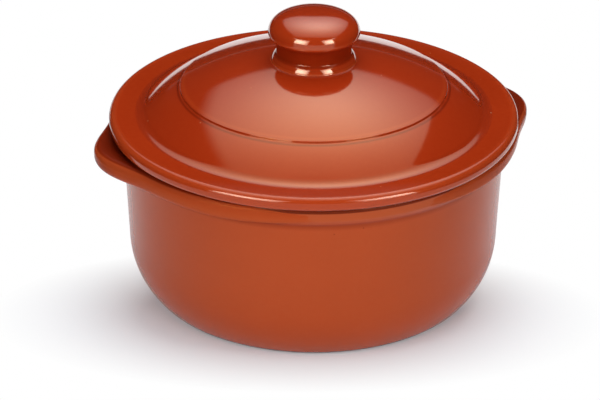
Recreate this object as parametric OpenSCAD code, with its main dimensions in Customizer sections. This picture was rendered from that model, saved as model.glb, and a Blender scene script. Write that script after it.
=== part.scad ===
// Lidded clay pot: a round earthenware casserole with two lugs, and a domed lid with a knob.
// The pot stands on its base at z = 0 with its axis on the z axis, and its lugs lie along the x axis.
// Bowl, lugs, lid and knob are shaped apart. The lugs are luted to the bowl and the knob to the lid.

/* [Pot] */
// Outside diameter of the wall, just under the collar
pot_d = 196; // [160:1:240]
// Height of the pot, from the table to the top of its rim
pot_h = 89.5; // [75:0.5:130]
// Thickness of the wall
wall_t = 6.5; // [4:0.5:9]
// Thickness of the base
base_t = 7; // [4:0.5:12]
// Lean of the wall from the vertical in degrees, narrower towards the base
wall_lean = 2.5; // [0.5:0.5:6]
// Radius of the outside curve from the wall into the base
corner_r = 43; // [30:1:50]
// Radius of the inside curve from the wall into the floor
inside_corner_r = 22; // [10:1:30]
// How far the foot's edge stands in from the line of the wall
foot_inset = 10; // [5:0.5:18]
// Rounding of the foot's edge
foot_round = 3; // [1:0.5:5]

/* [Collar] */
// How far the collar round the mouth stands out from the wall
collar_step = 2; // [1:0.25:6]
// Height of the collar
collar_h = 9; // [7:0.5:18]
// Height over which the collar's lower edge runs softly into the wall
collar_soft = 5; // [1:0.5:7]
// Rounding of the rim's two top edges
rim_round = 2.75; // [0.5:0.25:3]

/* [Lugs] */
// How far a lug's point stands out from the collar
lug_reach = 15.5; // [8:0.5:22]
// How far the collar swells out on both sides of the point
lug_swell = 6.5; // [2:0.5:7.5]
// Thickness of a lug
lug_t = 10.5; // [9:0.5:14]
// How far a lug's top face lies below the rim
lug_drop = 1; // [0.5:0.5:4]
// Rounding of a lug's top edge
lug_top_round = 3.5; // [1:0.25:4.5]
// Rounding of a lug's lower edge
lug_under_round = 5; // [1:0.25:6]
// Angle in degrees from the middle of a lug to where it has died away into the pot
lug_spread = 74; // [55:1:85]
// Angle in degrees from the middle of a lug to where its point begins
lug_point_spread = 26; // [15:1:40]
// Sharpness of the point, seen from above
lug_point = 3.5; // [1.5:0.25:5]

/* [Lid] */
// How far the lid's edge stands out beyond the collar
lid_overhang = 5; // [1:0.5:10]
// Thickness of the lid's edge
edge_t = 7; // [6.5:0.1:12]
// Thickness of the brim at its lowest, next to the dome
brim_t = 6.4; // [4:0.1:6.8]
// Rounding of the edge's upper corner
edge_top_round = 3; // [0.8:0.1:3.4]
// Rounding of the edge's lower corner
edge_bottom_round = 2.6; // [0.5:0.1:3]
// Width of the border over which the brim rises to the edge
border_w = 12; // [5:0.5:13]
// Width of the whole brim, from the edge to the dome's foot
brim_w = 17; // [15:0.5:24]
// Radius of the hollow between the brim and the dome
dome_fillet = 6; // [2:0.5:9]
// Width of the dome's lower tier, from its foot to the turned step
tier_w = 19.5; // [12:0.5:32]
// Height of the lower tier
tier_h = 13.3; // [8:0.1:22]
// Bulge of the lower tier over a straight slope
tier_bulge = 0.9; // [0.2:0.1:2]
// Height of the turned step
step_h = 1; // [0.4:0.1:2]
// How far the step runs in over that height
step_run = 0.3; // [0.1:0.1:1.5]
// Height of the upper tier, from the step to the knob's seat
crown_h = 13.8; // [6:0.2:24]
// Bulge of the upper tier over a straight slope
crown_bulge = 1.7; // [0.4:0.1:4]
// Thickness of the dome, measured upright
dome_t = 6.5; // [4:0.5:10]

/* [Lid flange] */
// Depth of the ring under the lid that drops into the mouth
flange_h = 8; // [4:0.5:16]
// Thickness of that ring
flange_t = 5.5; // [4:0.5:8]
// Gap all round between that ring and the mouth
flange_gap = 1.5; // [0.5:0.25:4]
// Rounding of that ring's lower edges
flange_round = 1.5; // [0.5:0.25:1.75]

/* [Knob] */
// Diameter of the knob's cap
cap_d = 46.8; // [36:0.2:60]
// Height of the knob above its seat
knob_h = 26.2; // [22:0.1:40]
// Height of the cap's lower lip above the seat
lip_h = 13.6; // [9:0.2:16]
// How far the cap's lower lip turns in
lip_inset = 1; // [0.2:0.1:2]
// Height of the cap's widest place above its lip
belly_h = 1.4; // [1:0.2:5]
// Fullness of the cap: 2 is an ellipse, and more is squarer
cap_fullness = 2.4; // [2:0.1:4]
// Diameter of the bead at the knob's foot
bead_d = 43.4; // [40:0.2:56]
// Height of the bead
bead_h = 4.4; // [3:0.2:8]
// Height of the upright foot under the bead's rounding
bead_foot = 0.6; // [0.4:0.1:2]
// Bulge of the bead over a straight slope
bead_bulge = 0.3; // [0.2:0.1:1.6]
// Diameter of the neck, where the bead meets the groove under the cap
neck_d = 38.6; // [30:0.2:42]
// Depth of the groove between the neck and the cap's lip
groove_depth = 1.2; // [0.4:0.1:2]
// Width of the seat that shows round the bead
seat_rim = 1; // [0.4:0.1:3]

/* [Hidden] */
$fn = 160;

// The point at distance r from c, at angle a
function polar(c, r, a) = [c[0] + r * cos(a), c[1] + r * sin(a)];

// The direction from one point to another
function heading(from, to) = atan2(to[1] - from[1], to[0] - from[0]);

// Points on the arc round c, from angle a0 to angle a1
function arc(c, r, a0, a1, n) = [for (i = [0:n]) polar(c, r, a0 + (a1 - a0) * i / n)];

// The arc from p to q that bulges by s to the left of the straight line, or to the right where s is negative:
// its radius, its centre and its points
function bulge_r(p, q, s) = (pow(norm(q - p) / 2, 2) + s * s) / (2 * s);
function bulge_c(p, q, s) = polar((p + q) / 2, s - bulge_r(p, q, s), heading(p, q) + 90);
function bulge(p, q, s, n) =
    let (half = 2 * atan(2 * s / norm(q - p)), middle = heading(p, q) + 90)
    arc(bulge_c(p, q, s), bulge_r(p, q, s), middle + half, middle - half, n);

// Pot: radii of the wall at height z, outside and inside
pot_r = pot_d / 2;
collar_z = pot_h - collar_h;
collar_r = pot_r + collar_step;
function wall_r(z) = pot_r - (collar_z - z) * tan(wall_lean);
function mouth_r(z) = wall_r(z) - wall_t / cos(wall_lean);

// Outside corner: an arc tangent to the wall that reaches the table foot_inset inside the wall's line
corner_w = corner_r / cos(wall_lean);
corner_off = corner_w - foot_inset;
corner_z = (corner_off * tan(wall_lean) + sqrt(pow(corner_w, 2) - pow(corner_off, 2)))
    * pow(cos(wall_lean), 2);
corner_c = [wall_r(corner_z) - corner_w, corner_z];
foot_c = [
    corner_c[0] + sqrt(pow(corner_r - foot_round, 2) - pow(corner_z - foot_round, 2)),
    foot_round
];
foot_turn = heading(corner_c, foot_c);
inside_z = base_t + inside_corner_r;
inside_c = [mouth_r(inside_z) - inside_corner_r / cos(wall_lean), inside_z];

// The collar's lower edge, a soft S from the wall out to the collar
collar_edge = [
    for (t = [0:0.125:1])
        let (z = collar_z + (t - 0.5) * collar_soft)
        [wall_r(z) + (collar_r - wall_r(z)) * (1 - cos(180 * t)) / 2, z]
];

// The outside, from the middle of the base to the top of the rim
pot_outside = concat(
    [[0, 0]],
    arc(foot_c, foot_round, -90, foot_turn, 5),
    arc(corner_c, corner_r, foot_turn, -wall_lean, 14),
    collar_edge,
    arc([collar_r - rim_round, pot_h - rim_round], rim_round, 0, 90, 6)
);

// The inside, from the top of the rim to the middle of the floor
pot_inside = concat(
    arc([mouth_r(pot_h) + rim_round, pot_h - rim_round], rim_round, 90, 180, 6),
    arc(inside_c, inside_corner_r, -wall_lean, -90, 12),
    [[0, base_t]]
);

module pot_bowl() {
    color("#b4502e") rotate_extrude() polygon(concat(pot_outside, pot_inside));
}

// Lugs: the collar swells out on each side into a flat ear with a point, which dies away inside the wall.
// A lug is a row of rounded sections, one for each angle, cut to the bowl's outside so that it sits on it.
lug_z = pot_h - lug_drop - lug_t;
lug_sink = 1;
lug_end_r = pot_r - lug_sink;
lug_back_r = pot_r - 2 * wall_t;
lug_steps = 40;
function lug_angle(i) = let (t = 2 * i / lug_steps - 1) lug_spread * sign(t) * pow(abs(t), 1.5);
function lug_r(a) =
    lug_end_r
    + (collar_r + lug_swell - lug_end_r) * cos(90 * a / lug_spread)
    + (lug_reach - lug_swell) * pow(cos(90 * min(1, abs(a) / lug_point_spread)), lug_point);

// The section at angle a, from its lower back edge round the outside to its upper back edge
function lug_section(a) =
    let (edge_r = lug_r(a))
    concat(
        [[lug_back_r, lug_z]],
        arc([edge_r - lug_under_round, lug_z + lug_under_round], lug_under_round, -90, 0, 5),
        arc([edge_r - lug_top_round, lug_z + lug_t - lug_top_round], lug_top_round, 0, 90, 4),
        [[lug_back_r, lug_z + lug_t]]
    );

lug_rings = [
    for (i = [0:lug_steps])
        let (a = lug_angle(i))
        [for (p = lug_section(a)) [p[0] * cos(a), p[0] * sin(a), p[1]]]
];

module lug_blank() {
    n = len(lug_rings[0]);
    polyhedron(
        points = [for (ring = lug_rings) each ring],
        faces = concat(
            [[for (j = [n - 1:-1:0]) j]],
            [for (i = [0:lug_steps - 1], j = [0:n - 1]) [i * n + j, i * n + (j + 1) % n, (i + 1) * n + j]],
            [
                for (i = [0:lug_steps - 1], j = [0:n - 1])
                    [i * n + (j + 1) % n, (i + 1) * n + (j + 1) % n, (i + 1) * n + j]
            ],
            [[for (j = [0:n - 1]) lug_steps * n + j]]
        )
    );
}

module lug() {
    color("#a8431f") difference() {
        lug_blank();
        rotate_extrude() polygon(concat(pot_outside, [[0, pot_h]]));
    }
}

module left_lug() {
    rotate([0, 0, 180]) lug();
}

module right_lug() {
    lug();
}

// Lid: the brim rests on the rim, and the flange drops into the mouth
lid_r = collar_r + lid_overhang;
brim_z = pot_h + brim_t;
edge_c = [lid_r - edge_top_round, pot_h + edge_t - edge_top_round];
flange_r = mouth_r(pot_h - flange_h) - flange_gap;
flange_in_r = flange_r - flange_t;
flange_z = pot_h - flange_h + flange_round;

// The brim's border: a hollow arc from the flat of the brim to the edge's rounding
border_run = border_w - edge_top_round;
border_rise = edge_c[1] - brim_z;
border_r = (pow(border_run, 2) + pow(border_rise, 2) - pow(edge_top_round, 2)) / (2 * (edge_t - brim_t));
border_c = [lid_r - border_w, brim_z + border_r];
border_turn = heading(border_c, edge_c);

// The lower tier: an arc from the step down to the brim, with a hollow at its foot
dome_r = lid_r - brim_w;
step_r = dome_r - tier_w;
tier_top = [step_r, brim_z + tier_h];
tier_foot = [dome_r, brim_z];
tier_r = bulge_r(tier_top, tier_foot, tier_bulge);
tier_c = bulge_c(tier_top, tier_foot, tier_bulge);
fillet_z = brim_z + dome_fillet;
fillet_c = [tier_c[0] + sqrt(pow(tier_r + dome_fillet, 2) - pow(fillet_z - tier_c[1], 2)), fillet_z];

// The upper tier, from the knob's seat to the step
seat_r = bead_d / 2 + seat_rim;
crown_foot = [step_r - step_run, tier_top[1] + step_h];
seat_z = crown_foot[1] + crown_h;

dome_top = concat(
    [[0, seat_z]],
    bulge([seat_r, seat_z], crown_foot, crown_bulge, 14),
    arc(tier_c, tier_r, heading(tier_c, tier_top), heading(tier_c, fillet_c), 8),
    arc(fillet_c, dome_fillet, heading(fillet_c, tier_c), -90, 6)
);

lid_edge = concat(
    arc(border_c, border_r, -90, border_turn, 6),
    arc(edge_c, edge_top_round, border_turn + 180, 0, 6),
    arc([lid_r - edge_bottom_round, pot_h + edge_bottom_round], edge_bottom_round, 0, -90, 6)
);

lid_flange = concat(
    [[flange_r, pot_h]],
    arc([flange_r - flange_round, flange_z], flange_round, 0, -90, 4),
    arc([flange_in_r + flange_round, flange_z], flange_round, -90, -180, 4)
);

// The hollow under the dome follows its top, from the flange to the middle
dome_hollow = [
    for (i = [len(dome_top) - 1:-1:0])
        if (dome_top[i][0] < flange_in_r) dome_top[i] - [0, dome_t]
];

module lid() {
    color("#96300e") rotate_extrude()
        polygon(concat(dome_top, lid_edge, lid_flange, [[flange_in_r, dome_hollow[0][1]]], dome_hollow));
}

// Knob: a bead, a groove and a full cap, in one turned piece
cap_r = cap_d / 2;
bead_r = bead_d / 2;
neck_r = neck_d / 2;
belly_z = lip_h + belly_h;
cap_steps = 12;

knob_side = concat(
    [[0, 0]],
    [[bead_r, 0]],
    bulge([bead_r, bead_foot], [neck_r, bead_h], -bead_bulge, 6),
    bulge([neck_r, bead_h], [cap_r - lip_inset, lip_h], groove_depth, 10),
    [for (i = [1:4]) let (a = i * 90 / 4) [cap_r - lip_inset * (1 - sin(a)), belly_z - belly_h * cos(a)]],
    [
        for (i = [1:cap_steps])
            let (a = i * 90 / cap_steps, e = 2 / cap_fullness)
            [cap_r * pow(cos(a), e), belly_z + (knob_h - belly_z) * pow(sin(a), e)]
    ]
);

module lid_knob() {
    color("#9c330f") translate([0, 0, seat_z]) rotate_extrude() polygon(knob_side);
}

pot_bowl();
left_lug();
right_lug();
lid();
lid_knob();
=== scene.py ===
from math import atan, atan2, cos, degrees, dist, pi, radians, sin, sqrt, tan

import bpy
from mathutils import Matrix, Vector, noise


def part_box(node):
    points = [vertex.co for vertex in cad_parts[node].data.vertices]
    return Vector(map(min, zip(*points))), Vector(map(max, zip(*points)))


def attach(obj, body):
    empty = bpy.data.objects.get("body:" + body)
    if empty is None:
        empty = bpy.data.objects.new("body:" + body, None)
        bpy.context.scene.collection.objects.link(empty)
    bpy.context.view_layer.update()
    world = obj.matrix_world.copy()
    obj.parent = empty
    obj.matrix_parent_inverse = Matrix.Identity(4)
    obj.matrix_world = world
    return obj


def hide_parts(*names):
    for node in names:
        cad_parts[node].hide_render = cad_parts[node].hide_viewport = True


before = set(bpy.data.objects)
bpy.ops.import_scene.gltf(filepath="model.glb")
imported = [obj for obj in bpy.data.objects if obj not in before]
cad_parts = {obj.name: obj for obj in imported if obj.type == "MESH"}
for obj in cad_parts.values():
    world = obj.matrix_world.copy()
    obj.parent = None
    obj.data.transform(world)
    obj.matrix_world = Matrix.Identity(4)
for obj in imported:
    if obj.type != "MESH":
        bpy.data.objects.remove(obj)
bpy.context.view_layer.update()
bpy.context.scene.view_settings.view_transform = "Standard"


# Pot bowl: the round bowl of red earthenware, thrown on the wheel with a collar round its mouth.
# It is dipped in a satin red-brown glaze, lined with a glossy one, and its base is wiped bare before
# the firing, so that it doesn't stick to the kiln shelf.
MM = 0.001
bowl_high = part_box("pot_bowl")[1]
pot_h = bowl_high.z / MM
collar_r = bowl_high.x / MM
collar_step = 2
collar_h = 9
collar_soft = 5
rim_round = 2.75
wall_t = 6.5
wall_lean = 2.5
base_t = 7
corner_r = 43
inside_corner_r = 22
foot_inset = 10
foot_round = 3
wiped_turn = -75
bowl_uneven = 0.25

pot_r = collar_r - collar_step
collar_z = pot_h - collar_h

# The glaze's flow is above 0 where it runs thin and lighter, and below 0 where it pools dark. The bands on
# the bowl paint shade at the foot and at the rim under the lid, and make the collar lighter
foot_dark_z = 1.4
rim_dark_z = pot_h - rim_round - 0.5
painted_shade_flow = -1.2
collar_flow = 0.8


def wall_r(z):
    """The wall's outside radius at height z, leaving the collar out"""
    return pot_r - (collar_z - z) * tan(radians(wall_lean))


def mouth_r(z):
    """The wall's inside radius at height z"""
    return wall_r(z) - wall_t / cos(radians(wall_lean))


def polar(centre, radius, angle):
    """The point at that distance from the centre, at an angle in degrees"""
    return (centre[0] + radius * cos(radians(angle)), centre[1] + radius * sin(radians(angle)))


def heading(start, end):
    """The direction from one point to another, in degrees"""
    return degrees(atan2(end[1] - start[1], end[0] - start[0]))


def arc(centre, radius, first, last, steps):
    """Points on the arc round the centre, from one angle to another"""
    return [polar(centre, radius, first + (last - first) * i / steps) for i in range(steps + 1)]


# The curve from the wall into the base touches the wall, and meets the table inside the wall's line
corner_w = corner_r / cos(radians(wall_lean))
corner_off = corner_w - foot_inset
corner_rise = corner_off * tan(radians(wall_lean)) + sqrt(corner_w**2 - corner_off**2)
corner_z = corner_rise * cos(radians(wall_lean)) ** 2
corner_c = (wall_r(corner_z) - corner_w, corner_z)
foot_c = (corner_c[0] + sqrt((corner_r - foot_round) ** 2 - (corner_z - foot_round) ** 2), foot_round)
foot_turn = heading(corner_c, foot_c)
inside_z = base_t + inside_corner_r
inside_c = (mouth_r(inside_z) - inside_corner_r / cos(radians(wall_lean)), inside_z)


def collar_edge(share):
    """The collar's soft lower edge, an S from the wall out to the collar"""
    z = collar_z + (share - 0.5) * collar_soft
    return (wall_r(z) + (collar_r - wall_r(z)) * (1 - cos(pi * share)) / 2, z)


bowl_base = [(0, 0)] + arc(foot_c, foot_round, -90, wiped_turn, 3)
bowl_outside = (
    arc(foot_c, foot_round, wiped_turn, foot_turn, 8)
    + arc(corner_c, corner_r, foot_turn, -wall_lean, 32)[1:]
    + [collar_edge(i / 12) for i in range(13)]
    + [(collar_r, rim_dark_z - 0.3), (collar_r, rim_dark_z + 0.2)]
    + arc((collar_r - rim_round, pot_h - rim_round), rim_round, 0, 90, 10)
)
bowl_inside = (
    [bowl_outside[-1]]
    + arc((mouth_r(pot_h) + rim_round, pot_h - rim_round), rim_round, 90, 180, 10)
    + arc(inside_c, inside_corner_r, -wall_lean, -90, 20)
    + [(0, base_t)]
)


def turns(outline):
    """How sharply the outline turns at each of its points, in degrees, left above 0"""
    bends = [0.0]
    for before, here, after in zip(outline, outline[1:], outline[2:]):
        bends.append((heading(here, after) - heading(before, here) + 180) % 360 - 180)
    return bends + [0.0]


def wheel_lines(outline, longest=3.0, hold=0.08, sharp=10):
    """The outline with its long runs divided, and a point close to each sharp turn, which keeps it crisp"""
    outline = [outline[0]] + [end for start, end in zip(outline, outline[1:]) if dist(start, end) > 1e-6]
    bends = turns(outline)
    finer = [outline[0]]
    for i, (start, end) in enumerate(zip(outline, outline[1:])):
        length = dist(start, end)
        rows = int(length / longest) + 1
        shares = [row / rows for row in range(1, rows + 1)]
        if length > 2.5 * hold:
            shares += [hold / length] if abs(bends[i]) > sharp else []
            shares += [1 - hold / length] if abs(bends[i + 1]) > sharp else []
        finer += [tuple(a + (b - a) * share for a, b in zip(start, end)) for share in sorted(shares)]
    return finer


def glaze_flow(outline, reach=1.6, strength=2.5):
    """Where the glaze runs thin over an edge, above 0, or pools in a hollow, below 0"""
    bends = turns(outline)
    flow = []
    for here in outline:
        near = sum(radians(bend) for bend, point in zip(bends, outline) if dist(here, point) < reach)
        flow.append(max(-1.0, min(1.0, near / (2 * reach) * strength)))
    return flow


wheel_facets = 192
wheel_wave = 14
wheel_seed = 4
settled_z = 12
noise.seed_set(wheel_seed)


def unevenness(place, amount):
    """How far the wheel and the hand put a point out of true, by about that many mm"""
    return noise.noise_vector(place * wheel_wave) * amount * MM


def thrown(name, stretches, uneven, bands, lift=0.0):
    """A piece turned on the wheel. Each stretch is an outline of radius and height in mm, and its finish.
    A band is a lowest and a highest height, and the glaze's flow set between them: below 0 it paints shade,
    above 0 it lightens the colour"""
    outline = []
    finishes = []
    for points, finish in stretches:
        rows = wheel_lines(points)
        outline += rows if not outline else rows[1:]
        finishes += [finish] * (len(outline) - 1 - len(finishes))
    flow = glaze_flow(outline)
    for lowest, highest, band_flow in bands:
        flow = [band_flow if lowest < point[1] < highest else depth for point, depth in zip(outline, flow)]
    points = []
    flows = []
    rings = []
    for (radius, height), depth in zip(outline, flow):
        count = 1 if radius < 1e-6 else wheel_facets
        rings.append((len(points), count))
        for i in range(count):
            place = Vector(polar((0, 0), radius, 360 * i / wheel_facets) + (height + lift,)) * MM
            settled = min(1.0, max(0.0, height + lift) / settled_z)
            points.append(place + unevenness(place, uneven) * settled)
            flows.append(depth)
    faces = []
    skins = []
    kinds = list(dict.fromkeys(finishes))
    for (low, low_count), (high, high_count), finish in zip(rings, rings[1:], finishes):
        for i in range(wheel_facets):
            j = (i + 1) % wheel_facets
            corners = [low + i % low_count, low + j % low_count]
            corners += [high + j % high_count, high + i % high_count]
            faces.append(list(dict.fromkeys(corners)))
            skins.append(kinds.index(finish))
    return clay_piece(name, points, faces, flows, kinds, skins)


def clay_piece(name, points, faces, flows, finishes, skins):
    """A smooth mesh object with its finishes, and with the glaze's flow, with its painted shade, on its
    points
    """
    mesh = bpy.data.meshes.new(name)
    mesh.from_pydata(points, [], faces)
    for finish in finishes:
        mesh.materials.append(finish)
    mesh.polygons.foreach_set("material_index", skins)
    mesh.polygons.foreach_set("use_smooth", [True] * len(faces))
    mesh.attributes.new("glaze_flow", "FLOAT", "POINT").data.foreach_set("value", flows)
    mesh.update()
    piece = bpy.data.objects.new(name, mesh)
    bpy.context.scene.collection.objects.link(piece)
    return piece


def new_finish(name):
    """A material with no nodes yet"""
    material = bpy.data.materials.new(name)
    material.use_nodes = True
    material.node_tree.nodes.clear()
    return material


def add_node(material, kind, inputs, **settings):
    """A node of the material, with its settings, and its inputs set to a value or wired to another node"""
    tree = material.node_tree
    step = tree.nodes.new("ShaderNode" + kind)
    for name, value in settings.items():
        setattr(step, name, value)
    for name, value in inputs.items():
        if isinstance(value, bpy.types.NodeSocket):
            tree.links.new(value, step.inputs[name])
        else:
            step.inputs[name].default_value = value
    return step


def worked_out(material, kind, *values):
    """One step of arithmetic"""
    return add_node(material, "Math", dict(enumerate(values)), operation=kind).outputs["Value"]


def ranged(material, value, low, high, to_low, to_high):
    """A value carried from one range to another"""
    bounds = {"From Min": low, "From Max": high, "To Min": to_low, "To Max": to_high}
    return add_node(material, "MapRange", {"Value": value, **bounds}).outputs["Result"]


def clouds(material, place, scale, detail):
    """Cloudy noise, with so many clouds to the metre"""
    look = {"Vector": place, "Scale": scale, "Detail": detail}
    return add_node(material, "TexNoise", look).outputs["Fac"]


def colour_run(material, share, stops):
    """Colours along a run from 0 to 1"""
    run = add_node(material, "ValToRGB", {"Fac": share})
    while len(run.color_ramp.elements) < len(stops):
        run.color_ramp.elements.new(0.5)
    for element, (place, colour) in zip(run.color_ramp.elements, stops):
        element.position = place
        element.color = (*colour, 1)
    return run.outputs["Color"]


def blended(material, share, under, over):
    """One colour over another"""
    mix = add_node(material, "Mix", {}, data_type="RGBA", blend_type="MIX", clamp_factor=True)
    for socket, value in ((mix.inputs[0], share), (mix.inputs[6], under), (mix.inputs[7], over)):
        if isinstance(value, bpy.types.NodeSocket):
            material.node_tree.links.new(value, socket)
        else:
            socket.default_value = value if socket.type == "VALUE" else (*value, 1)
    return mix.outputs[2]


def glaze(name, body, drift, thin, pool_and_shade, fleck_and_glint, satin, depth, gloss, shine, peel):
    """Fired glaze, a clear gloss over a tinted satin body: it drifts in colour, breaks lighter over edges,
    pools dark in hollows, and has a few flecks with pinholes and a faint orange peel. The flow attribute
    also carries painted shade, which darkens it further below -0.8, and a light fleck colour is a painted
    glint"""
    material = new_finish(name)
    place = add_node(material, "TexCoord", {}).outputs["Object"]
    cloud = clouds(material, place, 18.0, 3.0)
    grain = clouds(material, place, 420.0, 4.0)
    ripple = clouds(material, place, 70.0, 1.0)
    # The glaze_flow attribute holds the glaze's flow and the bands set over it: painted shade, and a lighter
    # collar
    flow = add_node(material, "Attribute", {}, attribute_name="glaze_flow").outputs["Fac"]
    deep_pool_and_shade = tuple(0.4 * part for part in pool_and_shade)
    colour = colour_run(material, cloud, [(0.3, body), (0.7, drift)])
    colour = blended(material, ranged(material, grain, 0.35, 0.75, 0.0, 0.10), colour, thin)
    colour = blended(material, ranged(material, flow, 0.1, 1.0, 0.0, 0.6), colour, thin)
    colour = blended(material, ranged(material, flow, -0.08, -0.6, 0.0, 0.85), colour, pool_and_shade)
    # Below -0.8, which only the bands of painted shade reach, the colour darkens to painted shade
    colour = blended(material, ranged(material, flow, -0.8, -1.6, 0.0, 1.0), colour, deep_pool_and_shade)
    # Flecks: dark ones are specks in the glaze; a light fleck colour is a painted glint at a pinhole
    cells = add_node(material, "TexVoronoi", {"Vector": place, "Scale": 210.0})
    lot = add_node(material, "SeparateColor", {"Color": cells.outputs["Color"]}).outputs["Red"]
    chosen = ranged(material, lot, 0.95, 0.96, 0.0, 1.0)
    dot = ranged(material, cells.outputs["Distance"], 0.05, 0.11, 1.0, 0.0)
    speck_and_glint = worked_out(material, "MULTIPLY", chosen, dot)
    colour = blended(material, speck_and_glint, colour, fleck_and_glint)
    rough = ranged(material, grain, 0.3, 0.7, satin, satin + 0.04)
    bumps = {"Height": ripple, "Strength": peel, "Distance": 0.0004}
    skin = add_node(material, "Bump", bumps).outputs["Normal"]
    pits = {"Height": speck_and_glint, "Strength": 0.4, "Distance": 0.0003, "Normal": skin}
    pitted = add_node(material, "Bump", pits, invert=True).outputs["Normal"]
    look = {
        "Base Color": colour,
        "Roughness": rough,
        "Specular IOR Level": depth,
        "Specular Tint": (1.0, 0.52, 0.12, 1),
        "Coat Weight": gloss,
        "Coat Roughness": shine,
        "Coat IOR": 1.5,
        "Normal": pitted,
        "Coat Normal": pitted,
    }
    shader = add_node(material, "BsdfPrincipled", look)
    add_node(material, "OutputMaterial", {"Surface": shader.outputs["BSDF"]})
    return material


def fired_clay():
    """Bare earthenware: sandy, matt, with pale grog and dark grains"""
    material = new_finish("bare_clay")
    place = add_node(material, "TexCoord", {}).outputs["Object"]
    cloud = clouds(material, place, 30.0, 4.0)
    sand = clouds(material, place, 900.0, 5.0)
    colour = colour_run(material, cloud, [(0.3, (0.46, 0.16, 0.075)), (0.7, (0.54, 0.20, 0.10))])
    colour = blended(material, ranged(material, sand, 0.3, 0.7, 0.0, 0.5), colour, (0.36, 0.12, 0.06))
    rough = ranged(material, sand, 0.3, 0.7, 0.75, 0.95)
    skin = add_node(material, "Bump", {"Height": sand, "Strength": 0.4, "Distance": 0.0003}).outputs["Normal"]
    look = {"Base Color": colour, "Roughness": rough, "Normal": skin}
    shader = add_node(material, "BsdfPrincipled", look)
    add_node(material, "OutputMaterial", {"Surface": shader.outputs["BSDF"]})
    return material


satin_glaze = glaze(
    "satin_glaze",
    body=(0.405, 0.057, 0.0143),
    drift=(0.43, 0.062, 0.0160),
    thin=(0.44, 0.085, 0.027),
    pool_and_shade=(0.20, 0.012, 0.0015),
    fleck_and_glint=(0.10, 0.006, 0.0008),
    satin=0.18,
    depth=0.20,
    gloss=0.14,
    shine=0.18,
    peel=0.012,
)
gloss_glaze = glaze(
    "gloss_glaze",
    body=(0.35, 0.027, 0.0045),
    drift=(0.38, 0.031, 0.0052),
    thin=(0.47, 0.058, 0.011),
    pool_and_shade=(0.18, 0.011, 0.0015),
    # Light flecks: painted glints at the pinholes
    fleck_and_glint=(0.58, 0.19, 0.08),
    satin=0.08,
    depth=0.7,
    gloss=0.42,
    shine=0.05,
    peel=0.010,
)
bare_clay = fired_clay()

bowl = thrown(
    "bowl",
    [(bowl_base, bare_clay), (bowl_outside, satin_glaze), (bowl_inside, gloss_glaze)],
    uneven=bowl_uneven,
    bands=[
        # Painted shade: the foot's bottom edge, where the pot meets the table
        (-0.5, foot_dark_z, painted_shade_flow),
        # The collar is made lighter, towards the glaze's thin colour
        (collar_z + 1, rim_dark_z, collar_flow),
        # Painted shade: the rim's rounding under the lid's overhang
        (rim_dark_z, pot_h + 1, painted_shade_flow),
    ],
)
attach(bowl, "pot")
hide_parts("pot_bowl")


# Lugs: two flat ears to lift the pot by, pulled from the same clay and luted to the collar.
# The potter smooths each one into the wall with a wet thumb, so it swells out of the collar and dies
# away along it, with a soft hollow underneath. Hands have rubbed the satin glaze on them dull.
lug_tip_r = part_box("right_lug")[1].x / MM
lug_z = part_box("right_lug")[0].z / MM
lug_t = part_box("right_lug")[1].z / MM - lug_z
lug_top_round = 3.5
lug_under_round = 5
lug_least_round = 2
lug_hollow = 1.5
lug_swell = 6.5
lug_spread = 79
lug_point_spread = 26
lug_point = 3.5
lug_tuck = 0.15
lug_sink = 1
lug_fade = 3
lug_uneven = 0.25
lug_sections = 160

# The glaze's flow under the lug, round its edge at the tip, and from there over the top to the root. It
# paints shade: under the lug, on its edge towards the tip, and over its top, darker towards the root under
# the lid's edge
lug_under_shade = -0.3
lug_tip_shade = -0.45
lug_top_shade = [0.0] * 5 + [-0.5, -0.7, -0.9, -1.0, -1.6]

rubbed_glaze = glaze(
    "rubbed_glaze",
    body=(0.40, 0.055, 0.0135),
    drift=(0.43, 0.061, 0.0155),
    thin=(0.44, 0.090, 0.030),
    pool_and_shade=(0.17, 0.010, 0.0012),
    fleck_and_glint=(0.10, 0.006, 0.0008),
    satin=0.20,
    depth=0.05,
    gloss=0.0,
    shine=0.2,
    peel=0.012,
)


def lug_edge(angle):
    """How far out the lug's edge lies at an angle from its middle: a broad swelling with a point on it"""
    swelling = lug_swell * cos(radians(90 * angle / lug_spread)) ** 2
    nearness = cos(radians(90 * min(1.0, abs(angle) / lug_point_spread)))
    return collar_r - lug_tuck + swelling + (lug_tip_r - collar_r - lug_swell) * nearness**lug_point


def lug_section(angle):
    """The lug's outline at an angle from its middle, from under its root round the edge to the top,
    and the glaze's flow at each of its points"""
    edge_r = lug_edge(angle)
    fading = max(0.0, abs(angle) / lug_spread - 0.5) * 2
    bottom = lug_z + lug_fade * fading**2 * (3 - 2 * fading)
    root_r = wall_r(lug_z)
    share = max(0.05, min(1.0, (edge_r - root_r) / (lug_hollow + lug_under_round)))
    hollow = lug_hollow * share
    under_round = max(lug_least_round, lug_under_round * share)
    under = [(root_r - lug_sink, bottom - hollow)]
    if edge_r > root_r + hollow + under_round:
        under += arc((root_r + hollow, bottom - hollow), hollow, 180, 90, 6)
    else:
        under += [(root_r - lug_sink, bottom - hollow + i * hollow / 6) for i in range(7)]
    edge = arc((edge_r - under_round, bottom + under_round), under_round, -90, 0, 10)
    top = arc((edge_r - lug_top_round, lug_z + lug_t - lug_top_round), lug_top_round, 0, 90, 8)
    top.append((pot_r - lug_sink * 2, lug_z + lug_t))
    # Painted shade under the lug and on its top; its edge is painted darker at the tip and runs lighter
    # towards its ends
    away_from_tip = min(1.0, abs(angle) / lug_point_spread)
    flow = [lug_under_shade] * len(under) + [away_from_tip + lug_tip_shade] * len(edge) + lug_top_shade
    return under + edge + top, flow


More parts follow.
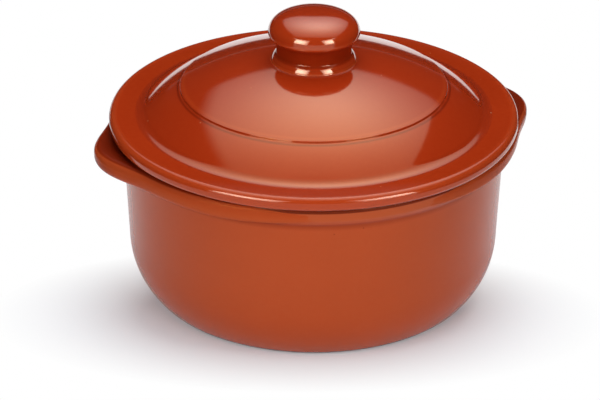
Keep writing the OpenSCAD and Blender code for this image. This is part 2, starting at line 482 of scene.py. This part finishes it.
def lug(name, node, facing):
    """One lug, turned to face that way"""
    points = []
    flows = []
    for i in range(lug_sections + 1):
        share = 2 * i / lug_sections - 1
        angle = lug_spread * share * sqrt(abs(share))
        outline, flow = lug_section(angle)
        for radius, height in outline:
            place = Vector(polar((0, 0), radius, facing + angle) + (height,)) * MM
            points.append(place + unevenness(place, lug_uneven))
        flows += flow
    row = len(outline)
    faces = [list(range(row))[::-1], list(range(lug_sections * row, (lug_sections + 1) * row))]
    for i in range(lug_sections):
        for j in range(row):
            k = (j + 1) % row
            faces.append([i * row + j, (i + 1) * row + j, (i + 1) * row + k, i * row + k])
    piece = clay_piece(name, points, faces, flows, [rubbed_glaze], [0] * len(faces))
    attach(piece, "pot")
    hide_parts(node)


lug("right_ear", "right_lug", 0)
lug("left_ear", "left_lug", 180)


# Lid: a domed cover with a flat brim and a raised edge, thrown upside down and turned to a low step.
# Its glaze is glossier than the pot's, but lies thin and dry on the brim. It rests on the rim by a bare
# strip under the brim, and a ring underneath drops into the mouth and keeps it from sliding off.
lid_overhang = 5
edge_t = 7
brim_t = 6.4
edge_top_round = 3
edge_bottom_round = 2.6
border_w = 12
brim_w = 17
dome_fillet = 9.5
tier_w = 19.5
tier_h = 13.3
tier_bulge = 0.9
step_h = 1
step_run = 0.3
crown_bulge = 1.7
dome_t = 6.5
flange_h = 8
flange_t = 5.5
flange_gap = 1.5
flange_round = 1.5
bead_r = 21.7
seat_rim = 1
lid_uneven = 0.3

seat_r = bead_r + seat_rim
seat_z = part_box("lid_knob")[0].z / MM
lid_r = collar_r + lid_overhang
brim_z = pot_h + brim_t
edge_c = (lid_r - edge_top_round, pot_h + edge_t - edge_top_round)
# The lid's lower edge below this height is painted shade
edge_dark_z = pot_h + 1.2
flange_r = mouth_r(pot_h - flange_h) - flange_gap
flange_in_r = flange_r - flange_t
flange_z = pot_h - flange_h + flange_round

# The brim's border is a hollow curve from the flat of the brim up to the edge's rounding
border_run = border_w - edge_top_round
border_rise = edge_c[1] - brim_z
border_r = (border_run**2 + border_rise**2 - edge_top_round**2) / (2 * (edge_t - brim_t))
border_c = (lid_r - border_w, brim_z + border_r)
border_turn = heading(border_c, edge_c)


def bulge_circle(start, end, rise):
    """The radius and centre of the curve that bulges by that much to the left of a straight line"""
    radius = ((dist(start, end) / 2) ** 2 + rise**2) / (2 * rise)
    middle = ((start[0] + end[0]) / 2, (start[1] + end[1]) / 2)
    return radius, polar(middle, rise - radius, heading(start, end) + 90)


def bulge(start, end, rise, steps):
    """The points of that curve"""
    radius, centre = bulge_circle(start, end, rise)
    half = degrees(2 * atan(2 * rise / dist(start, end)))
    middle = heading(start, end) + 90
    return arc(centre, radius, middle + half, middle - half, steps)


# The dome's lower tier runs out into the brim through a hollow fillet, which touches both
dome_r = lid_r - brim_w
step_r = dome_r - tier_w
tier_top = (step_r, brim_z + tier_h)
tier_r, tier_c = bulge_circle(tier_top, (dome_r, brim_z), tier_bulge)
fillet_z = brim_z + dome_fillet
fillet_c = (tier_c[0] + sqrt((tier_r + dome_fillet) ** 2 - (fillet_z - tier_c[1]) ** 2), fillet_z)
crown_foot = (step_r - step_run, tier_top[1] + step_h)

dome_top = (
    [(0, seat_z)]
    + bulge((seat_r, seat_z), crown_foot, crown_bulge, 30)
    + arc(tier_c, tier_r, heading(tier_c, tier_top), heading(tier_c, fillet_c), 16)
    + arc(fillet_c, dome_fillet, heading(fillet_c, tier_c), -90, 12)
)
lid_brim = [dome_top[-1]] + arc(border_c, border_r, -90, border_turn, 12)
lid_edge = (
    arc(edge_c, edge_top_round, border_turn + 180, 0, 12)
    + arc((lid_r - edge_bottom_round, pot_h + edge_bottom_round), edge_bottom_round, 0, -90, 12)
)
lid_seat = [lid_edge[-1], (flange_r, pot_h)]
dome_hollow = [(radius, height - dome_t) for radius, height in dome_top if radius < flange_in_r][::-1]
lid_inside = (
    [(flange_r, pot_h)]
    + arc((flange_r - flange_round, flange_z), flange_round, 0, -90, 8)
    + arc((flange_in_r + flange_round, flange_z), flange_round, -90, -180, 8)
    + [(flange_in_r, dome_hollow[0][1])]
    + dome_hollow
)

dry_glaze = glaze(
    "dry_glaze",
    body=(0.32, 0.026, 0.0042),
    drift=(0.35, 0.030, 0.0050),
    thin=(0.47, 0.062, 0.013),
    pool_and_shade=(0.18, 0.011, 0.0015),
    # Light flecks: painted glints at the pinholes
    fleck_and_glint=(0.50, 0.12, 0.04),
    satin=0.12,
    depth=0.015,
    gloss=0.0,
    shine=0.05,
    peel=0.010,
)
edge_glaze = glaze(
    "edge_glaze",
    body=(0.35, 0.030, 0.0055),
    drift=(0.38, 0.034, 0.0062),
    thin=(0.47, 0.062, 0.013),
    pool_and_shade=(0.18, 0.011, 0.0015),
    # Light flecks: painted glints at the pinholes
    fleck_and_glint=(0.50, 0.12, 0.04),
    satin=0.10,
    depth=0.22,
    gloss=0.50,
    shine=0.07,
    peel=0.010,
)
cover = thrown(
    "cover",
    [
        (lid_inside[::-1], gloss_glaze),
        (lid_seat[::-1], bare_clay),
        (lid_edge[::-1], edge_glaze),
        (lid_brim[::-1], dry_glaze),
        (dome_top[::-1], gloss_glaze),
    ],
    uneven=lid_uneven,
    # Painted shade: the lid's lower edge, down to where it rests on the rim
    bands=[(pot_h - 1, edge_dark_z, painted_shade_flow)],
)
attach(cover, "lid")
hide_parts("lid")


# Knob: a turned finger knob with a bead at its foot, a groove and a full round cap.
# It is made apart and luted to the lid's crown before glazing, so the glaze runs into a small fillet
# round its foot. The groove under the cap is painted darker: painted shade, and glaze pooling in it.
knob_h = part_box("lid_knob")[1].z / MM - seat_z
cap_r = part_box("lid_knob")[1].x / MM
lip_h = 13.6
lip_inset = 1
belly_h = 1.4
cap_fullness = 2.4
cap_steps = 40
bead_h = 4.4
bead_foot = 0.6
bead_bulge = 0.3
neck_r = 19.3
groove_depth = 1.2
groove_shade = -0.45
glaze_fillet = 0.5
knob_sink = 0.2
knob_uneven = 0.2
belly_z = lip_h + belly_h


def cap_point(angle):
    """The cap's side, from its widest place at 0 degrees to its top at 90"""
    power = 2 / cap_fullness
    across = cap_r * max(0.0, cos(radians(angle))) ** power
    return (across if angle < 90 else 0, belly_z + (knob_h - belly_z) * sin(radians(angle)) ** power)


def lip_point(angle):
    """The turn of the cap's lower lip, from the lip at 0 degrees to the widest place at 90"""
    return (cap_r - lip_inset * (1 - sin(radians(angle))), belly_z - belly_h * cos(radians(angle)))


knob_foot = (
    [(0, -knob_sink), (bead_r + glaze_fillet, -knob_sink)]
    + arc((bead_r + glaze_fillet, glaze_fillet), glaze_fillet, -90, -180, 6)
    + bulge((bead_r, bead_foot), (neck_r, bead_h), -bead_bulge, 12)
)
knob_groove = bulge((neck_r, bead_h), (cap_r - lip_inset, lip_h), groove_depth, 20)
knob_cap = (
    [lip_point(90 * i / 8) for i in range(9)]
    + [cap_point(90 * i / cap_steps) for i in range(1, cap_steps + 1)]
)

knob_glaze = glaze(
    "knob_glaze",
    body=(0.35, 0.027, 0.0045),
    drift=(0.38, 0.031, 0.0052),
    thin=(0.47, 0.058, 0.011),
    pool_and_shade=(0.18, 0.011, 0.0015),
    fleck_and_glint=(0.10, 0.006, 0.0008),
    satin=0.08,
    depth=0.48,
    gloss=0.76,
    shine=0.05,
    peel=0.010,
)
knob = thrown(
    "knob",
    [(knob_foot, knob_glaze), (knob_groove, dry_glaze), (knob_cap, knob_glaze)],
    uneven=knob_uneven,
    # Painted shade in the groove under the cap
    bands=[(bead_h - 0.1, lip_h - 0.8, groove_shade)],
    lift=seat_z,
)
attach(knob, "lid")
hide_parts("lid_knob")


# Floor: the plain white sweep of paper that the pot stands on. It takes the pot's shadow, and away from
# the pot it runs out into plain white for the camera and for reflections.
camera_turn = -17.5
floor_half = 6.0
floor_z = -0.0003
shade_middle = Vector((-0.006, -0.045, 0))
shade_depth = 2.05
shade_inner, shade_outer = 0.082, 0.160
foot_inner, foot_outer = 0.082, 0.097
mirror_inner, mirror_outer = 0.10, 0.24
least_white = 0.08


def room_place(x, y, z):
    """A place measured in metres to the camera's right, away from the camera, and up"""
    return Matrix.Rotation(radians(camera_turn), 3, "Z") @ Vector((x, y, z))


floor_mesh = bpy.data.meshes.new("floor")
floor_corners = [(x * floor_half, y * floor_half, floor_z) for x, y in ((-1, -1), (1, -1), (1, 1), (-1, 1))]
floor_mesh.from_pydata(floor_corners, [], [[0, 1, 2, 3]])
floor = bpy.data.objects.new("floor", floor_mesh)
floor.rotation_euler.z = radians(camera_turn)
floor.location = room_place(*shade_middle)
bpy.context.scene.collection.objects.link(floor)

paper = new_finish("white_paper")
paper_place = add_node(paper, "TexCoord", {}).outputs["Object"]
paper_rays = add_node(paper, "LightPath", {}).outputs


def paper_spread(change, amount, inner, outer):
    """How white the paper is, out from the middle of the shade or of the pot"""
    moved = add_node(paper, "VectorMath", {0: paper_place, 1: amount}, operation=change).outputs["Vector"]
    far = add_node(paper, "VectorMath", {0: moved}, operation="LENGTH").outputs["Value"]
    return ranged(paper, far, inner, outer, least_white, 1.0)


shade_share = paper_spread("MULTIPLY", (1, shade_depth, 1), shade_inner, shade_outer)
foot_share = paper_spread("ADD", shade_middle, foot_inner, foot_outer)
mirror_share = paper_spread("ADD", shade_middle, mirror_inner, mirror_outer)
seen_share = worked_out(paper, "MINIMUM", shade_share, foot_share)
mirror_rays = worked_out(paper, "MAXIMUM", paper_rays["Is Glossy Ray"], paper_rays["Is Transmission Ray"])
seen_white = worked_out(paper, "MULTIPLY", seen_share, paper_rays["Is Camera Ray"])
mirror_white = worked_out(paper, "MULTIPLY", mirror_share, mirror_rays)
paper_white = worked_out(paper, "MAXIMUM", seen_white, mirror_white)
paper_lit = add_node(paper, "BsdfDiffuse", {"Color": (0.84, 0.87, 0.92, 1)}).outputs["BSDF"]
paper_glow = add_node(paper, "Emission", {"Color": (1, 1, 1, 1), "Strength": 1.0}).outputs["Emission"]
paper_mix = add_node(paper, "MixShader", {0: paper_white, 1: paper_lit, 2: paper_glow}).outputs["Shader"]
add_node(paper, "OutputMaterial", {"Surface": paper_mix})
floor_mesh.materials.append(paper)


# Studio: a large lit cloth overhead and a little behind the pot, two lamps in front at either side, each
# with a cloth for its gleam, and a dark room. A low black screen stands round the sides and the back, and
# a strip of black card lies behind the pot. The camera sees them only as reflections in the glaze.
lamp_aim = Vector((0, 0, 0.09))
lamp_rise = 26
lamp_turns = {"left": -37, "right": 45}
lamp_away = 1.1
lamp_w = 0.80
lamp_h = 0.74
lamp_level = 3.08
gleam_away = 1.16
gleam_half_w = 0.46
gleam_half_h = 0.40
gleam_level = 15.0
gleam_fade = 0.30
sky_h = 1.31
sky_hot = (0.09, 0.55)
sky_left, sky_right = -1.08, 1.16
sky_near, sky_far = -1.16, 1.46
sky_level = 3.8
sky_fade = 0.60
sky_stretch = 1.1
cloth_soft = 0.24


def studio_place(turn, rise, away, aim):
    """A place in the room: degrees to the right of the camera as seen from the pot, and above the table"""
    side = radians(camera_turn + turn)
    up = radians(rise)
    return Vector((sin(side) * cos(up), -cos(side) * cos(up), sin(up))) * away + aim


def face_pot(rig, turn, away):
    """Stands a lamp or a cloth in front of the pot and turns it to the pot"""
    rig.location = studio_place(turn, lamp_rise, away, lamp_aim)
    rig.rotation_mode = "QUATERNION"
    rig.rotation_quaternion = (rig.location - lamp_aim).to_track_quat("Z", "Y")


def soft_box(name, width, height, level):
    """A rectangular lamp. Its level is its brightness, where 1 is white"""
    lamp = bpy.data.lights.new(name, "AREA")
    lamp.shape = "RECTANGLE"
    lamp.size = width
    lamp.size_y = height
    lamp.energy = level * pi * width * height
    rig = bpy.data.objects.new(name, lamp)
    rig.visible_camera = False
    bpy.context.scene.collection.objects.link(rig)
    return rig


def hung_sheet(name, points, faces, finish):
    """A cloth or a screen that the camera doesn't see and that casts no shadow"""
    mesh = bpy.data.meshes.new(name)
    mesh.from_pydata(points, [], faces)
    mesh.materials.append(finish)
    hung = bpy.data.objects.new(name, mesh)
    hung.visible_camera = False
    hung.visible_shadow = False
    bpy.context.scene.collection.objects.link(hung)
    return hung


def diffuser(name, left, right, near, far, level, fade, stretch=1.0):
    """A lit cloth, with its edges measured from its hot spot. It dims to a half at the fade's distance from
    the spot, or further on the far side, where the light is stretched, and goes out softly at its edges"""
    lit = new_finish(name)
    place = add_node(lit, "TexCoord", {}).outputs["Object"]
    across = add_node(lit, "SeparateXYZ", {"Vector": place}).outputs
    drawn = worked_out(lit, "MULTIPLY", across["Y"], 1 / stretch)
    along = worked_out(lit, "MINIMUM", across["Y"], drawn)
    off = add_node(lit, "CombineXYZ", {"X": across["X"], "Y": along}).outputs["Vector"]
    square = add_node(lit, "VectorMath", {0: off, 1: off}, operation="DOT_PRODUCT").outputs["Value"]
    dim = worked_out(lit, "MULTIPLY_ADD", square, 1 / fade**2, 1.0)
    glow = worked_out(lit, "DIVIDE", level, dim)
    for axis, edge in (("X", left), ("X", right), ("Y", near), ("Y", far)):
        inner = edge - cloth_soft if edge > 0 else edge + cloth_soft
        bounds = {"From Min": inner, "From Max": edge, "To Min": 1.0, "To Max": 0.0}
        ends = {"Value": across[axis], **bounds}
        end = add_node(lit, "MapRange", ends, interpolation_type="SMOOTHSTEP").outputs["Result"]
        glow = worked_out(lit, "MULTIPLY", glow, end)
    light = add_node(lit, "Emission", {"Strength": glow}).outputs["Emission"]
    add_node(lit, "OutputMaterial", {"Surface": light})
    corners = [(left, near, 0), (right, near, 0), (right, far, 0), (left, far, 0)]
    return hung_sheet(name, corners, [[3, 2, 1, 0]], lit)


sky = diffuser(
    "overhead", sky_left, sky_right, sky_near, sky_far, level=sky_level, fade=sky_fade, stretch=sky_stretch
)
sky.rotation_euler.z = radians(camera_turn)
sky.location = room_place(*sky_hot, sky_h)
for side, turn in lamp_turns.items():
    face_pot(soft_box("front_" + side, lamp_w, lamp_h, lamp_level), turn, lamp_away)
    gleam = diffuser(
        "front_" + side + "_gleam",
        -gleam_half_w,
        gleam_half_w,
        -gleam_half_h,
        gleam_half_h,
        level=gleam_level,
        fade=gleam_fade,
    )
    face_pot(gleam, turn, gleam_away)
    gleam.visible_diffuse = False

screen_h = 0.40
screen_z = 0.001
screen_line = [(0.29, -0.25), (0.29, 0.30), (0.75, 1.2), (0.9, 2.0)]
screen_line += [(-x, y) for x, y in screen_line[::-1]]
card_half_w = 0.25
card_near = 0.19
card_far = 0.34
card_z = 0.002
card_line = [(-card_half_w, card_near), (card_half_w, card_near)]
card_line += [(-x, card_far) for x, y in card_line]
black_cloth = new_finish("black_cloth")
cloth_look = add_node(black_cloth, "BsdfDiffuse", {"Color": (0.01, 0.01, 0.01, 1)}).outputs["BSDF"]
add_node(black_cloth, "OutputMaterial", {"Surface": cloth_look})
screen_points = []
for x, y in screen_line:
    foot = room_place(x, y, screen_z)
    screen_points += [foot, foot + Vector((0, 0, screen_h))]
screen_faces = [[2 * i, 2 * i + 2, 2 * i + 3, 2 * i + 1] for i in range(len(screen_line) - 1)]
screen_faces.append([len(screen_points) + i for i in range(len(card_line))])
screen_points += [room_place(x, y, card_z) for x, y in card_line]
hung_sheet("screen", screen_points, screen_faces, black_cloth)

sweep_end = sin(radians(5))
sweep_gone = sin(radians(9))
room = bpy.data.worlds.new("room")
bpy.context.scene.world = room
room.use_nodes = True
room.node_tree.nodes.clear()
room_way = add_node(room, "TexCoord", {}).outputs["Generated"]
room_up = add_node(room, "SeparateXYZ", {"Vector": room_way}).outputs["Z"]
room_share = ranged(room, room_up, sweep_end, sweep_gone, 0.0, 1.0)
room_colour = blended(room, room_share, (1, 1, 1), (0.012, 0.012, 0.012))
room_light = add_node(room, "Background", {"Color": room_colour}).outputs["Background"]
add_node(room, "OutputWorld", {"Surface": room_light})


# Camera: a long lens in front of the pot and a little to its left, looking down at it.
# It is aimed a little to the left of the pot's middle and below it, and tilted slightly.
camera_rise = 26.3
camera_away = 1.5
camera_lens = 173.3
camera_roll = 0.25
seen_point = Vector((0, 0, 0.06))
aim_left = 0.00677
aim_down = 0.0148

eye = bpy.data.cameras.new("camera")
eye.lens = camera_lens
eye.sensor_width = 36
eye.clip_start = 0.05
eye.clip_end = 50
camera = bpy.data.objects.new("camera", eye)
camera.location = studio_place(0, camera_rise, camera_away, seen_point)
back = (camera.location - seen_point).normalized()
right = Vector((0, 0, 1)).cross(back).normalized()
above = back.cross(right)
aim = seen_point - right * aim_left - above * aim_down
looking = (camera.location - aim).to_track_quat("Z", "Y").to_matrix()
roll = Matrix.Rotation(radians(camera_roll), 3, "Z")
camera.rotation_mode = "QUATERNION"
camera.rotation_quaternion = (looking @ roll).to_quaternion()
bpy.context.scene.collection.objects.link(camera)
bpy.context.scene.camera = camera
